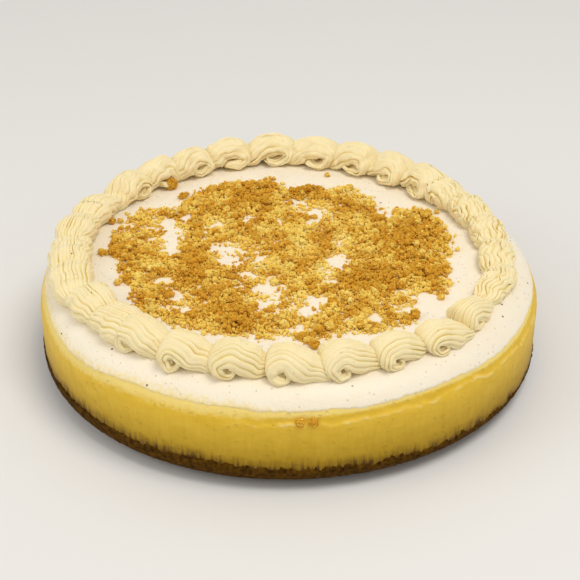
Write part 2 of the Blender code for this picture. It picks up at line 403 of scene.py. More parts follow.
def make_cream():
    """Spiced cream: spread smooth over the top and the rounded shoulder."""
    piece = drum("spread_cream", rows=CREAM_ROWS, top_rings=72, bottom_rings=3)
    angles, shares, levels = drum_places(piece)
    round_points = rim_points(angles)
    edge = cream_line(angles) + 0.8 * MM * ripples(round_points, 19 * MM, 5.2)
    edge += 0.6 * MM * ripples(round_points, 5 * MM, 2.8) + 0.4 * MM * ripples(round_points, 2.2 * MM, 6.2)
    low = np.arcsin(np.clip((edge - (CREAM_TOP - SHOULDER_RADIUS)) / SHOULDER_RADIUS, 0, 1))
    turn = low + (math.pi / 2 - low) * levels
    heights = CREAM_TOP - SHOULDER_RADIUS + SHOULDER_RADIUS * np.sin(turn)
    side = shares > 0.99
    points = lay_on_outline(angles, shares, heights)
    swell = 0.30 * ripples(points, 30 * MM, 7.2) + 0.16 * ripples(points, 9 * MM, 1.1)
    pimples = 0.05 * ripples(points, 2.2 * MM, 3.4)
    thinned = blend_range(levels * CREAM_ROWS, 0, 4.5) - 1
    proud = np.where(side, (swell + pimples + 0.35 + thinned) * MM * (1 - blend_range(levels, 0.6, 1)), 0)
    points = lay_on_outline(angles, shares, heights, proud)
    lift = blend_range(levels, 0.4, 1) * (0.22 * swell + 0.5 * pimples) * MM
    points[:, 2] += np.where(levels > 0.02, lift, 0)
    move_points(piece, points)
    reach = (2.2 + 5.0 * feathering(angles)) * MM
    point_value(piece, "stained", np.clip(1 - (heights - edge) / reach, -1, 2))
    # Under the crumbs the cream's top is tinted golden: partly fine crumb dust, partly painted bounce light
    # that lifts the crumbs' shade.
    cover = crumb_cover(points[:, 0], points[:, 1])[0]
    point_value(piece, "crumb_dust_and_bounce", np.where(shares < 0.95, cover, 0))
    smooth_shading(piece, 60)
    hand_over(piece, "spiced_cream", "cream_layer")
    return piece


# ------------------------------------------------------------------ piped shells

def smooth_path(stations, count):
    """Evenly spaced places on a smooth line through the stations."""
    stations = np.array(stations, dtype=float)
    padded = np.vstack((2 * stations[0] - stations[1], stations, 2 * stations[-1] - stations[-2]))
    fine = []
    for index in range(len(stations) - 1):
        before, start, end, after = padded[index:index + 4]
        for share in np.linspace(0, 1, 24, endpoint=False):
            curve = 2 * start + (end - before) * share
            curve = curve + (2 * before - 5 * start + 4 * end - after) * share ** 2
            curve = curve + (3 * start - before - 3 * end + after) * share ** 3
            fine.append(curve / 2)
    fine = np.array(fine + [stations[-1]])
    run = np.concatenate(([0], np.cumsum(np.hypot(*np.diff(fine[:, :2], axis=0).T))))
    even = np.linspace(0, run[-1], count)
    return np.column_stack([np.interp(even, run, column) for column in fine.T])


def ridge_steps(ridges, unevenness):
    """Shares of the way round a strand and the depth of the groove at each, for ridges of uneven width."""
    widths = RNG.uniform(1 - unevenness, 1 + unevenness, ridges)
    starts = np.concatenate(([0], np.cumsum(widths) / widths.sum()))
    depths = RNG.uniform(0.45, 1.45, ridges + 1)
    depths[-1] = depths[0]
    shares, grooves = [], []
    for index in range(ridges):
        for step in range(STEPS_PER_RIDGE):
            within = step / STEPS_PER_RIDGE
            shares.append(starts[index] + within * (starts[index + 1] - starts[index]))
            depth = depths[index] if within < 0.5 else depths[index + 1]
            grooves.append(depth * (1 - math.sin(math.pi * within) ** 0.5))
    return np.array(shares), np.array(grooves)


def squarish(angles):
    """How far out a circle made a little square lies at each angle."""
    power = SECTION_SQUARENESS
    return 1 / (np.abs(np.cos(angles)) ** power + np.abs(np.sin(angles)) ** power) ** (1 / power)


def section_angles(shares, thick, wide):
    """Angles at which points lie evenly round a squarish oval."""
    angles = np.linspace(0, 2 * math.pi, 241)
    squared = squarish(angles)
    steps = np.hypot(np.diff(np.cos(angles) * squared * thick), np.diff(np.sin(angles) * squared * wide))
    run = np.concatenate(([0], np.cumsum(steps)))
    return np.interp(np.mod(shares, 1), run / run[-1], angles)


def ridged_strand(path, ridges, twist, depth, top_depth, sway, wild):
    """Star-ridged cream along a path in an upright plane: rows of points along, across and up, and how deep
    in a groove each is. The ridges sway together, and where they are wild each wanders on its own."""
    shares, grooves = ridge_steps(ridges, 0.3)
    turn = RNG.uniform(0, 1)
    ahead = np.gradient(path[:, :2], axis=0)
    ahead /= np.hypot(ahead[:, 0], ahead[:, 1])[:, None]
    outward = np.column_stack((-ahead[:, 1], ahead[:, 0]))
    wander = RNG.uniform(0, 50)
    rows, depths = [], []
    for index, (along, up, thick, wide) in enumerate(path):
        share = index / (len(path) - 1)
        swung = sway * math.sin(13 * share + wander) + 0.5 * sway * math.sin(31 * share + 2 * wander)
        round_shares = 2 * math.pi * shares
        ring = 3.0 * np.column_stack((np.cos(round_shares), np.sin(round_shares), 0 * shares))
        lift = Vector((0, 0, 9 * share + wander))
        strayed = np.array([noise.noise(Vector(place) + lift) for place in ring])
        angle = section_angles(shares + turn + twist * share + swung + 0.075 * wild * strayed, thick, wide)
        lean_out, lean_side = np.cos(angle), np.sin(angle)
        out, side = lean_out * squarish(angle) * thick, lean_side * squarish(angle) * wide
        normal = np.column_stack((lean_out / thick, lean_side / wide))
        normal /= np.hypot(normal[:, 0], normal[:, 1])[:, None]
        weaker = np.array([noise.noise(Vector((wander + 6 * part, 4 * share, 0))) for part in shares])
        groove = np.clip(grooves * (0.8 + 0.7 * weaker), 0, 1.6) * min(1.0, thick / (2.4 * MM))
        cut = depth * groove * (top_depth + (1 - top_depth) * np.abs(lean_side))
        out, side = out - normal[:, 0] * cut, side - normal[:, 1] * cut
        rows.append(np.column_stack((along + out * outward[index, 0], side, up + out * outward[index, 1])))
        depths.append(groove * (top_depth + (1 - top_depth) * np.abs(lean_side)))
    strand = np.array(rows)
    rise = np.clip(strand[:, :, 2] / SHELL_DOME_HEIGHT, 0, 0.97)
    strand[:, :, 1] *= np.sqrt(1 - rise ** 2)
    return strand, np.array(depths)


def shell_style(middle):
    """Whether a shell runs on like a rope at the cake's right and at its left, and how full it stands."""
    right, left = (float(abs(math.degrees(half_turns(middle - math.radians(side)))) < reach)
                   for side, reach in ROPE_SIDES)
    return right, left, (1 - right - left) * blend_range(math.sin(middle), -0.3, 0.5)


def make_shell(name):
    """One piped shell: cream that curls up into a head and is drawn back down into a tail."""
    points, angles, radii = node_points(name)
    middle = math.atan2(points[:, 1].mean(), points[:, 0].mean())
    offsets = half_turns(angles - middle)
    head = middle + offsets.min()
    distance = math.hypot(points[:, 0].mean(), points[:, 1].mean())
    breadth = (radii.max() - radii.min()) / (23.9 * MM)
    length = (offsets.max() - offsets.min()) * distance / (25.1 * MM)
    rises = [point[2] - surface_height(point[0], point[1]) for point in points]
    tallness = max(rises) / (15.4 * MM)

    right, left, full = shell_style(middle)
    rope = right + left
    stations = np.array(CURLED_SHELL_MM) * (1 - rope - full)
    stations += np.array(FULL_SHELL_MM) * full + np.array(ROPE_SHELL_MM) * rope
    loose = np.linspace(1, 0.5, len(stations))[:, None]
    stations[:, :2] += RNG.uniform(-0.6, 0.6, (len(stations), 2)) * loose
    stations[:, 2:] *= RNG.uniform(0.92, 1.08, (len(stations), 2))
    stations[:, 0] *= length * RNG.uniform(0.98, 1.04)
    stations[:, 1] *= tallness * RNG.uniform(0.94, 1.05)
    stations[:, 2] *= tallness ** 0.7
    stations[:, 3] *= breadth * RNG.uniform(0.94, 1.04)
    path = smooth_path(stations * MM, STEPS_ALONG)
    strand, depths = ridged_strand(
        path, ridges=round(18 + 2 * left - 3 * right - 2 * full), twist=RNG.uniform(-0.10, 0.10),
        depth=(RNG.uniform(1.0, 1.3) + 0.30 * full + 0.55 * right - 0.20 * left) * MM,
        top_depth=0.38 + 0.42 * rope - 0.06 * full, sway=RNG.uniform(0.004, 0.011) + 0.022 * right,
        wild=0.55 * right + 0.3 * full)
    if rope:  # the lower half of a rope reaches down into the cream
        spine, thick = path[:, 1:3].T[:, :, None]
        below = np.minimum(strand[:, :, 2] - spine, 0)
        strand[:, :, 2] += below * ((spine - ROPE_FOOT) / thick - 1)

    count = strand.shape[1]
    bpy.ops.object.select_all(action="DESELECT")
    bpy.ops.mesh.primitive_grid_add(x_subdivisions=count, y_subdivisions=STEPS_ALONG - 1, size=1)
    piece = settle(name.replace("piped_swirl", "piped_shell"))
    wrapped = np.arange(count + 1) % count
    local = strand[:, wrapped].reshape(-1, 3)
    local[:count + 1] = path[0, 0], 0, path[0, 1]
    local[-(count + 1):] = path[-1, 0], 0, path[-1, 1]
    # These groove depths also set the painted shade in the grooves, in the piped cream's material.
    point_value(piece, "groove", depths[:, wrapped].ravel())

    along, across, up = local.T
    slew = math.radians(RNG.uniform(-8, 8))
    ahead = along * math.cos(slew) - across * math.sin(slew)
    across = along * math.sin(slew) + across * math.cos(slew)
    along = ahead
    across = across + RNG.uniform(-0.6, 0.6) * MM + RNG.uniform(-0.04, 0.08) * along
    angle = head + (along + 9.4 * length * MM) / distance
    radius = distance + across
    slope = math.radians(5)
    centre_angle = head + 9.4 * length * MM / distance
    base = surface_height(distance * math.cos(centre_angle), distance * math.sin(centre_angle)) - 1.5 * MM
    height = base + up - across * math.tan(slope)
    placed = np.column_stack((radius * np.cos(angle), radius * np.sin(angle), height))
    crumpled = (0.30 + 0.10 * full + 0.25 * right + 0.70 * full * blend_range(-across, -2 * MM, 7 * MM)) * MM
    placed += crumpled[:, None] * np.column_stack([ripples(placed, 5 * MM, seed) for seed in (1.5, 4.2, 8.8)])
    move_points(piece, placed)
    pick_only(piece)
    bpy.ops.object.mode_set(mode="EDIT")
    bpy.ops.mesh.select_all(action="SELECT")
    bpy.ops.mesh.remove_doubles(threshold=0.001 * MM)
    bpy.ops.mesh.normals_make_consistent(inside=False)
    bpy.ops.object.mode_set(mode="OBJECT")
    smooth_shading(piece, 50)
    hand_over(piece, "piped_cream", name)
    return piece


# ------------------------------------------------------------------ crumbs

def patch_depth(x, y):
    """How far places lie inside the patch of crumbs, negative outside it."""
    corners = np.array(PATCH_EDGE_MM, dtype=float) * MM
    nearest = np.full(x.shape, np.inf)
    inside = np.zeros(x.shape, dtype=bool)
    for start, end in zip(corners, np.roll(corners, -1, axis=0)):
        run = end - start
        share = np.clip(((x - start[0]) * run[0] + (y - start[1]) * run[1]) / (run @ run), 0, 1)
        nearest = np.minimum(nearest, np.hypot(x - start[0] - share * run[0], y - start[1] - share * run[1]))
        spans = (start[1] > y) != (end[1] > y)
        rise = run[1] if abs(run[1]) > 1e-9 else 1e-9
        inside ^= spans & (x < start[0] + run[0] * (y - start[1]) / rise)
    return np.where(inside, nearest, -nearest)


def crumb_cover(x, y):
    """How thickly crumbs lie at each place, from 0 on bare cream to 1.3 in a heap, and the heaps' share."""
    flat = np.column_stack((x, y, np.zeros_like(x)))
    coarse_x, coarse_y = ripples(flat, 9 * MM, 2.1), ripples(flat, 9 * MM, 5.8)
    fine_x, fine_y = ripples(flat, 3.2 * MM, 7.3), ripples(flat, 3.2 * MM, 1.6)
    x = x + (3.4 * coarse_x + 2.0 * fine_x) * MM
    y = y + (3.4 * coarse_y + 2.0 * fine_y) * MM
    edge = blend_range(patch_depth(x, y), -5 * MM, 7 * MM)
    bare = np.ones_like(x)
    for middle_x, middle_y, half_x, half_y in BARE_SPOTS_MM:
        apart = np.hypot((x / MM - middle_x) / half_x, (y / MM - middle_y) / half_y)
        bare *= 0.15 + 0.85 * blend_range(apart, 0.45, 1.5)
    for middle_x, middle_y, half_x, half_y in THIN_SPOTS_MM:
        apart = np.hypot((x / MM - middle_x) / half_x, (y / MM - middle_y) / half_y)
        bare *= 0.48 + 0.52 * blend_range(apart, 0.4, 1.3)
    heaped = np.zeros_like(x)
    for middle_x, middle_y, reach in HEAPS_MM:
        heaped += np.exp(-((x / MM - middle_x) ** 2 + (y / MM - middle_y) ** 2) / reach ** 2)
    heaped = np.clip(heaped + 0.45 * ripples(flat, 5.5 * MM, 3.3), -0.35, 1.2)
    patchy = 0.70 + 0.40 * ripples(flat, 8 * MM, 9.4) + 0.75 * ripples(flat, 3.8 * MM, 4.9)
    return edge * bare * np.clip(patchy + 0.45 * heaped, 0, 1.3), heaped


def pile_height(cover, heaped):
    return (0.9 + 1.7 * heaped) * MM * blend_range(cover, 0.35, 1.05)


def crumb_seed(name, many_sided):
    """One crumb before it is roughed up: its points and faces."""
    bpy.ops.object.select_all(action="DESELECT")
    if many_sided:
        bpy.ops.mesh.primitive_uv_sphere_add(segments=6, ring_count=5, radius=1)
    else:
        bpy.ops.mesh.primitive_ico_sphere_add(subdivisions=1, radius=1)
    piece = settle(name)
    bpy.ops.object.mode_set(mode="EDIT")
    bpy.ops.mesh.quads_convert_to_tris()
    bpy.ops.object.mode_set(mode="OBJECT")
    points = read_points(piece)
    faces = np.array([list(face.vertices) for face in piece.data.polygons])
    bpy.data.objects.remove(piece)
    return points, faces


def random_turns(count):
    """As many random rotations as asked for."""
    four = RNG.normal(size=(count, 4))
    w, x, y, z = (four / np.linalg.norm(four, axis=1)[:, None]).T
    return np.array(((1 - 2 * (y * y + z * z), 2 * (x * y - z * w), 2 * (x * z + y * w)),
                     (2 * (x * y + z * w), 1 - 2 * (x * x + z * z), 2 * (y * z - x * w)),
                     (2 * (x * z - y * w), 2 * (y * z + x * w), 1 - 2 * (x * x + y * y)))).transpose(2, 0, 1)


def joined_crumbs(name, places, sizes, tones, seed, roughness):
    """Crumbs of given sizes at given places, joined to one piece."""
    seed_points, seed_faces = seed
    count = len(places)
    jitter = 1 + RNG.uniform(-roughness, roughness, (count, len(seed_points), 1))
    shapes = seed_points[None] * jitter * RNG.uniform(0.72, 1.15, (count, 1, 3))
    shapes = np.einsum("nij,nkj->nki", random_turns(count), shapes)
    shapes = shapes * sizes[:, None, None] / 2 + places[:, None]
    faces = seed_faces[None] + (np.arange(count) * len(seed_points))[:, None, None]
    mesh = bpy.data.meshes.new(name)
    mesh.from_pydata(shapes.reshape(-1, 3), [], faces.reshape(-1, 3))
    piece = bpy.data.objects.new(name, mesh)
    bpy.context.scene.collection.objects.link(piece)
    point_value(piece, "tone", np.repeat(tones, len(seed_points)))
    smooth_shading(piece, 60)
    hand_over(piece, "crumb_topping")
    return piece


def scatter(count, least_cover, crowding):
    """Random places on the patch, more of them where crumbs lie thickly."""
    found = []
    while sum(len(part) for part in found) < count:
        x = RNG.uniform(-100, 96, 12000) * MM
        y = RNG.uniform(-92, 90, 12000) * MM
        cover, heaped = crumb_cover(x, y)
        chance = np.clip((cover - least_cover) / (1 - least_cover), 0, 1) ** crowding
        keep = RNG.uniform(0, 1, len(x)) < chance
        found.append(np.column_stack((x, y, cover, heaped))[keep])
    return np.concatenate(found)[:count]


def rest_on_pile(spots, sizes, sunk):
    heights = [surface_height(x, y) for x, y in spots[:, :2]]
    rise = pile_height(spots[:, 2], spots[:, 3]) + sizes * (0.5 - sunk)
    return np.column_stack((spots[:, 0], spots[:, 1], np.array(heights) + rise))


def make_crumb_bed():
    """The thick part of the crumb layer: fine crumbs packed together, as relief."""
    bpy.ops.object.select_all(action="DESELECT")
    bpy.ops.mesh.primitive_grid_add(x_subdivisions=BED_CELLS[0], y_subdivisions=BED_CELLS[1], size=1)
    piece = settle("crumb_bed")
    move_points(piece, read_points(piece) * (*BED_SIZE, 1) + (*BED_MIDDLE, 0))
    points = read_points(piece)
    cover = crumb_cover(points[:, 0], points[:, 1])[0]
    edit(piece, "FACE")
    for face in piece.data.polygons:
        face.select = bool(max(cover[index] for index in face.vertices) < BED_LEAST_COVER)
    bpy.ops.object.mode_set(mode="EDIT")
    bpy.ops.mesh.delete(type="FACE")
    bpy.ops.mesh.select_all(action="SELECT")
    bpy.ops.mesh.extrude_region_move(TRANSFORM_OT_translate={"value": (0, 0, 1)})
    bpy.ops.mesh.select_all(action="SELECT")
    bpy.ops.mesh.normals_make_consistent(inside=False)
    bpy.ops.object.mode_set(mode="OBJECT")

    points = read_points(piece)
    upper = points[:, 2] > 0.5
    cover, heaped = crumb_cover(points[:, 0], points[:, 1])
    grains = RNG.uniform((-96, -90), (92, 86), (BED_GRAINS, 2)) * MM
    radii = RNG.uniform(0.5 * MM, WIDEST_BED_GRAIN, len(grains))
    tree = KDTree(len(grains))
    for index, (x, y) in enumerate(grains):
        tree.insert((x, y, 0), index)
    tree.balance()
    heights = np.full(len(points), CREAM_TOP - 1.5 * MM)
    tones = np.full(len(points), 0.5)
    grain_tones = RNG.normal(0.43, 0.06, len(grains))
    grain_tones += 0.40 * ripples(np.column_stack((grains, 0 * grains[:, 0])), 11 * MM, 3.9)
    for index in np.nonzero(upper)[0]:
        x, y = points[index, :2]
        bump = 0.0
        for _, grain, apart in tree.find_range((x, y, 0), WIDEST_BED_GRAIN):
            rise = math.sqrt(max(0.0, radii[grain] ** 2 - apart ** 2))
            if rise > bump:
                bump = rise
                tones[index] = grain_tones[grain]
        heights[index] = surface_height(x, y) + pile_height(cover[index], heaped[index]) + bump - 1.05 * MM
    points[:, 2] = heights
    move_points(piece, points)
    point_value(piece, "tone", tones)
    smooth_shading(piece, 40)
    hand_over(piece, "crumb_topping")
    return piece


def clump_spots():
    """Places, sizes and tones of the clumps: the strays, and more of them on the patch."""
    spots = [(x, y, size, RNG.normal(0.32 + 0.05 * size, 0.08)) for x, y, size in STRAYS_MM]
    for x, y, _, heaped in scatter(CLUMP_COUNT, 0.34, 1.2):
        size = 2.2 + 3.0 * RNG.beta(1.3, 2.4)
        spots.append((x / MM, y / MM, size, RNG.normal(0.47, 0.14) + 0.20 * heaped))
    return spots


def clump_middle(x, y, size):
    cover, heaped = crumb_cover(np.array([x * MM]), np.array([y * MM]))
    height = surface_height(x * MM, y * MM) + pile_height(cover, heaped)[0] + 0.30 * size * MM
    return np.array((x * MM, y * MM, height))


def place_clumps(spots):
    """Middle, size and tone of every clump, and of the crumbs caught on the cake's side."""
    clumps = [(clump_middle(x, y, size), size, tone) for x, y, size, tone in spots]
    for angle, height, size in SIDE_CRUMBS:
        angles, heights = np.radians([angle]), np.array([height * MM])
        clumps.append((lay_on_outline(angles, np.ones(1), heights, -0.2 * MM)[0], size, SIDE_CRUMB_TONE))
    return clumps


def make_clump_cores(clumps):
    """The bodies of the clumps, each knocked into its own shape."""
    parts = []
    for middle, size, tone in clumps:
        bpy.ops.object.select_all(action="DESELECT")
        bpy.ops.mesh.primitive_ico_sphere_add(subdivisions=2, radius=0.46)
        piece = settle("clump")
        points = read_points(piece) * size * MM * RNG.uniform(0.8, 1.15, 3)
        points *= 1 + 0.35 * ripples(points, 1.8 * MM, RNG.uniform(0, 90))[:, None]
        move_points(piece, points + middle)
        point_value(piece, "tone", np.full(len(points), tone))
        parts.append(piece)
    bpy.ops.object.select_all(action="DESELECT")
    for piece in parts:
        piece.select_set(True)
    bpy.context.view_layer.objects.active = parts[0]
    bpy.ops.object.join()
    piece = bpy.context.active_object
    piece.name = piece.data.name = "crumb_clumps"
    smooth_shading(piece, 40)
    hand_over(piece, "crumb_topping")
    return piece


def make_clump_grains(clumps):
    """Crumbs that stick to the upper side of every clump."""
    places, tones = [], []
    for middle, size, tone in clumps:
        count = int(1.3 * size ** 2)
        ways = RNG.normal(size=(count, 3))
        ways[:, 2] = np.abs(ways[:, 2]) - 0.25
        ways /= np.linalg.norm(ways, axis=1)[:, None]
        places.append(middle + ways * 0.44 * size * MM * RNG.uniform(0.85, 1.08, (count, 1)))
        tones.append(RNG.normal(tone, 0.08, count))
    places, tones = np.concatenate(places), np.concatenate(tones)
    sizes = RNG.uniform(0.9, 1.8, len(places)) * MM
    return joined_crumbs("clump_crumbs", places, sizes, tones, crumb_seed("clump_crumb_seed", False), 0.25)


def make_grains():
    """Loose fine and coarse crumbs on top of the bed and thinly over the bare cream round it."""
    pieces = []
    for name, count, low, high, least_cover, crowding, many_sided, tone in LOOSE_CRUMBS:
        spots = scatter(count, least_cover, crowding)
        sizes = (low + (high - low) * RNG.beta(1.4, 2.6, count)) * MM
        places = rest_on_pile(spots, sizes, 0.18)
        places[:, 2] -= RNG.uniform(0, 0.5, count) * MM * blend_range(spots[:, 2], 0.5, 0.9)
        tones = RNG.normal(tone, 0.05, count) + 0.30 * spots[:, 3]
        tones += 0.42 * ripples(places, 11 * MM, 3.9) + 0.16 * ripples(places, 3.6 * MM, 6.4)
        pieces.append(joined_crumbs(name, places, sizes, tones, crumb_seed(name + "_seed", many_sided), 0.25))
    return pieces


# ------------------------------------------------------------------ materials

def plain_material(name, colour, roughness):
    material = bpy.data.materials.new(name)
    material.use_nodes = True
    shader = material.node_tree.nodes["Principled BSDF"]
    shader.inputs["Base Color"].default_value = (*colour, 1)
    shader.inputs["Roughness"].default_value = roughness
    return material


def add(tree, kind, *links, **settings):
    """A node, its settings and inputs filled in, and links from other nodes' outputs to its inputs."""
    node = tree.nodes.new(kind)
    for name, value in settings.items():
        setattr(node, name, value)
    for source, target in links:
        if isinstance(source, bpy.types.NodeSocket):
            tree.links.new(source, node.inputs[target])
        else:
            node.inputs[target].default_value = source
    return node


def group(name, inputs, outputs):
    """An empty shader node group with its sockets, and its two end nodes."""
    tree = bpy.data.node_groups.new(name, "ShaderNodeTree")
    for label, kind in inputs:
        tree.interface.new_socket(name=label, in_out="INPUT", socket_type=kind)
    for label, kind in outputs:
        tree.interface.new_socket(name=label, in_out="OUTPUT", socket_type=kind)
    return tree, tree.nodes.new("NodeGroupInput"), tree.nodes.new("NodeGroupOutput")


def uneven_colour_group():
    """Cloudy blend of two colours, as in anything mixed and baked by hand."""
    tree, start, end = group("uneven_colour", (
        ("Position", "NodeSocketVector"), ("Scale", "NodeSocketFloat"), ("Sharpness", "NodeSocketFloat"),
        ("Light", "NodeSocketColor"), ("Dark", "NodeSocketColor")),
        (("Colour", "NodeSocketColor"), ("Height", "NodeSocketFloat")))
    clouds = add(tree, "ShaderNodeTexNoise", (start.outputs["Position"], "Vector"),
                 (start.outputs["Scale"], "Scale"), (5.0, "Detail"), (0.6, "Roughness"))
    shifted = add(tree, "ShaderNodeMath", (clouds.outputs["Fac"], 0), (0.5, 1), operation="SUBTRACT")
    spread = add(tree, "ShaderNodeMath", (shifted.outputs[0], 0), (start.outputs["Sharpness"], 1), (0.5, 2),
                 operation="MULTIPLY_ADD", use_clamp=True)
    mixed = add(tree, "ShaderNodeMix", (spread.outputs[0], "Factor"), (start.outputs["Light"], 6),
                (start.outputs["Dark"], 7), data_type="RGBA")
    tree.links.new(mixed.outputs[2], end.inputs["Colour"])
    tree.links.new(clouds.outputs["Fac"], end.inputs["Height"])
    return tree


def specks_group():
    """Round specks of spice: a mask from cells, a share of which hold a speck."""
    tree, start, end = group("spice_specks", (
        ("Position", "NodeSocketVector"), ("Scale", "NodeSocketFloat"), ("Size", "NodeSocketFloat"),
        ("Share", "NodeSocketFloat")), (("Mask", "NodeSocketFloat"),))
    bend = add(tree, "ShaderNodeTexNoise", (start.outputs["Position"], "Vector"), (900.0, "Scale"))
    push = add(tree, "ShaderNodeVectorMath", (bend.outputs["Color"], 0), ((0.0008, 0.0008, 0.0008), 1),
               operation="MULTIPLY")
    place = add(tree, "ShaderNodeVectorMath", (start.outputs["Position"], 0), (push.outputs[0], 1),
                operation="ADD")
    cells = add(tree, "ShaderNodeTexVoronoi", (place.outputs[0], "Vector"), (start.outputs["Scale"], "Scale"))
    near = add(tree, "ShaderNodeMapRange", (cells.outputs["Distance"], "Value"),
               (start.outputs["Size"], "From Min"), (0.0, "From Max"), (0.0, "To Min"), (2.2, "To Max"))
    parts = add(tree, "ShaderNodeSeparateColor", (cells.outputs["Color"], 0))
    chosen = add(tree, "ShaderNodeMath", (parts.outputs[0], 0), (start.outputs["Share"], 1),
                 operation="LESS_THAN")
    mask = add(tree, "ShaderNodeMath", (near.outputs[0], 0), (chosen.outputs[0], 1), operation="MULTIPLY",
               use_clamp=True)
    tree.links.new(mask.outputs[0], end.inputs["Mask"])
    return tree


def begin_material(name, roughness, soft=0.0):
    """A material with its shader, and the object's own coordinates."""
    material = plain_material(name, (0.5, 0.5, 0.5), roughness)
    tree = material.node_tree
    shader = tree.nodes["Principled BSDF"]
    shader.inputs["Subsurface Weight"].default_value = soft
    shader.inputs["Subsurface Radius"].default_value = (1.0, 0.7, 0.35)
    shader.inputs["Subsurface Scale"].default_value = 1.6 * MM
    shader.inputs["Specular IOR Level"].default_value = 0.35
    position = add(tree, "ShaderNodeTexCoord").outputs["Object"]
    return material, tree, shader, position


def put_group(tree, node_group, **values):
    node = tree.nodes.new("ShaderNodeGroup")
    node.node_tree = node_group
    for name, value in values.items():
        if isinstance(value, bpy.types.NodeSocket):
            tree.links.new(value, node.inputs[name])
        else:
            node.inputs[name].default_value = value
    return node


def overlay(tree, base, mask, colour):
    """The base colour with another one over it where the mask says."""
    over = add(tree, "ShaderNodeMix", (mask, "Factor"), (base, 6), ((*colour, 1), 7), data_type="RGBA")
    return over.outputs[2]


def finish_material(tree, shader, colour, height, distance):
    tree.links.new(colour, shader.inputs["Base Color"])
    bump = add(tree, "ShaderNodeBump", (height, "Height"), (1.0, "Strength"), (distance, "Distance"))
    tree.links.new(bump.outputs[0], shader.inputs["Normal"])


def measured(tree, name):
    """A value that a piece carries at its points."""
    return add(tree, "ShaderNodeAttribute", attribute_name=name).outputs["Fac"]


def fade(tree, value, start, end):
    """1 at one value, fading to 0 at another."""
    return add(tree, "ShaderNodeMapRange", (value, "Value"), (start, "From Min"), (end, "From Max"),
               (1.0, "To Min"), (0.0, "To Max"), interpolation_type="SMOOTHSTEP").outputs[0]


def sum_of(tree, value, factor, offset):
    """A value times a factor, plus an offset that may be another value."""
    return add(tree, "ShaderNodeMath", (value, 0), (factor, 1), (offset, 2),
               operation="MULTIPLY_ADD").outputs[0]


def spread_cream_material():
    material, tree, shader, position = begin_material("spread_cream", 0.42, 0.10)
    clouds = put_group(tree, UNEVEN, Position=position, Scale=75.0, Sharpness=1.3,
                       Light=(0.93, 0.85, 0.705, 1), Dark=(0.89, 0.79, 0.60, 1))
    fine = put_group(tree, UNEVEN, Position=position, Scale=600.0, Sharpness=1.5,
                     Light=(0.6, 0.6, 0.6, 1), Dark=(0.4, 0.4, 0.4, 1))
    dust = put_group(tree, SPECKS, Position=position, Scale=420.0, Size=0.26, Share=0.22)
    specks = put_group(tree, SPECKS, Position=position, Scale=120.0, Size=0.085, Share=0.45)
    pores = put_group(tree, SPECKS, Position=position, Scale=260.0, Size=0.30, Share=0.16)
    stained = fade(tree, sum_of(tree, fine.outputs["Height"], 1.5, measured(tree, "stained")), 1.75, 0.95)
    colour = overlay(tree, clouds.outputs["Colour"], sum_of(tree, stained, 0.80, 0.0), (0.86, 0.66, 0.19))
    # Golden tint where crumbs lie: partly fine crumb dust, partly painted bounce light that lifts the crumbs'
    # shade.
    dust_and_bounce_tint = fade(tree, sum_of(tree, fine.outputs["Height"], 0.9, measured(tree, "crumb_dust_and_bounce")), 0.90, 0.56)
    colour = overlay(tree, colour, sum_of(tree, dust_and_bounce_tint, 0.80, 0.0), (0.92, 0.69, 0.20))
    colour = overlay(tree, colour, sum_of(tree, dust.outputs[0], 0.42, 0.0), (0.42, 0.33, 0.17))
    colour = overlay(tree, colour, specks.outputs[0], (0.09, 0.045, 0.015))
    height = sum_of(tree, pores.outputs[0], -0.8, fine.outputs["Height"])
    finish_material(tree, shader, colour, height, 0.25 * MM)
    return material


def piped_cream_material():
    material, tree, shader, position = begin_material("piped_cream", 0.45, 0.26)
    clouds = put_group(tree, UNEVEN, Position=position, Scale=110.0, Sharpness=1.4,
                       Light=(0.92, 0.80, 0.50, 1), Dark=(0.87, 0.72, 0.385, 1))
    fine = put_group(tree, UNEVEN, Position=position, Scale=900.0, Sharpness=1.5,
                     Light=(0.6, 0.6, 0.6, 1), Dark=(0.4, 0.4, 0.4, 1))
    dust = put_group(tree, SPECKS, Position=position, Scale=380.0, Size=0.25, Share=0.12)
    specks = put_group(tree, SPECKS, Position=position, Scale=140.0, Size=0.085, Share=0.10)
    # Painted shade: the grooves between the ridges are painted a darker olive yellow, the deeper the darker.
    painted_groove_shade = sum_of(tree, fade(tree, measured(tree, "groove"), 1.1, 0.15), 0.70, 0.0)
    colour = overlay(tree, clouds.outputs["Colour"], painted_groove_shade, (0.76, 0.59, 0.12))
    colour = overlay(tree, colour, sum_of(tree, dust.outputs[0], 0.3, 0.0), (0.42, 0.31, 0.12))
    colour = overlay(tree, colour, specks.outputs[0], (0.10, 0.05, 0.015))
    finish_material(tree, shader, colour, fine.outputs["Height"], 0.18 * MM)
    return material


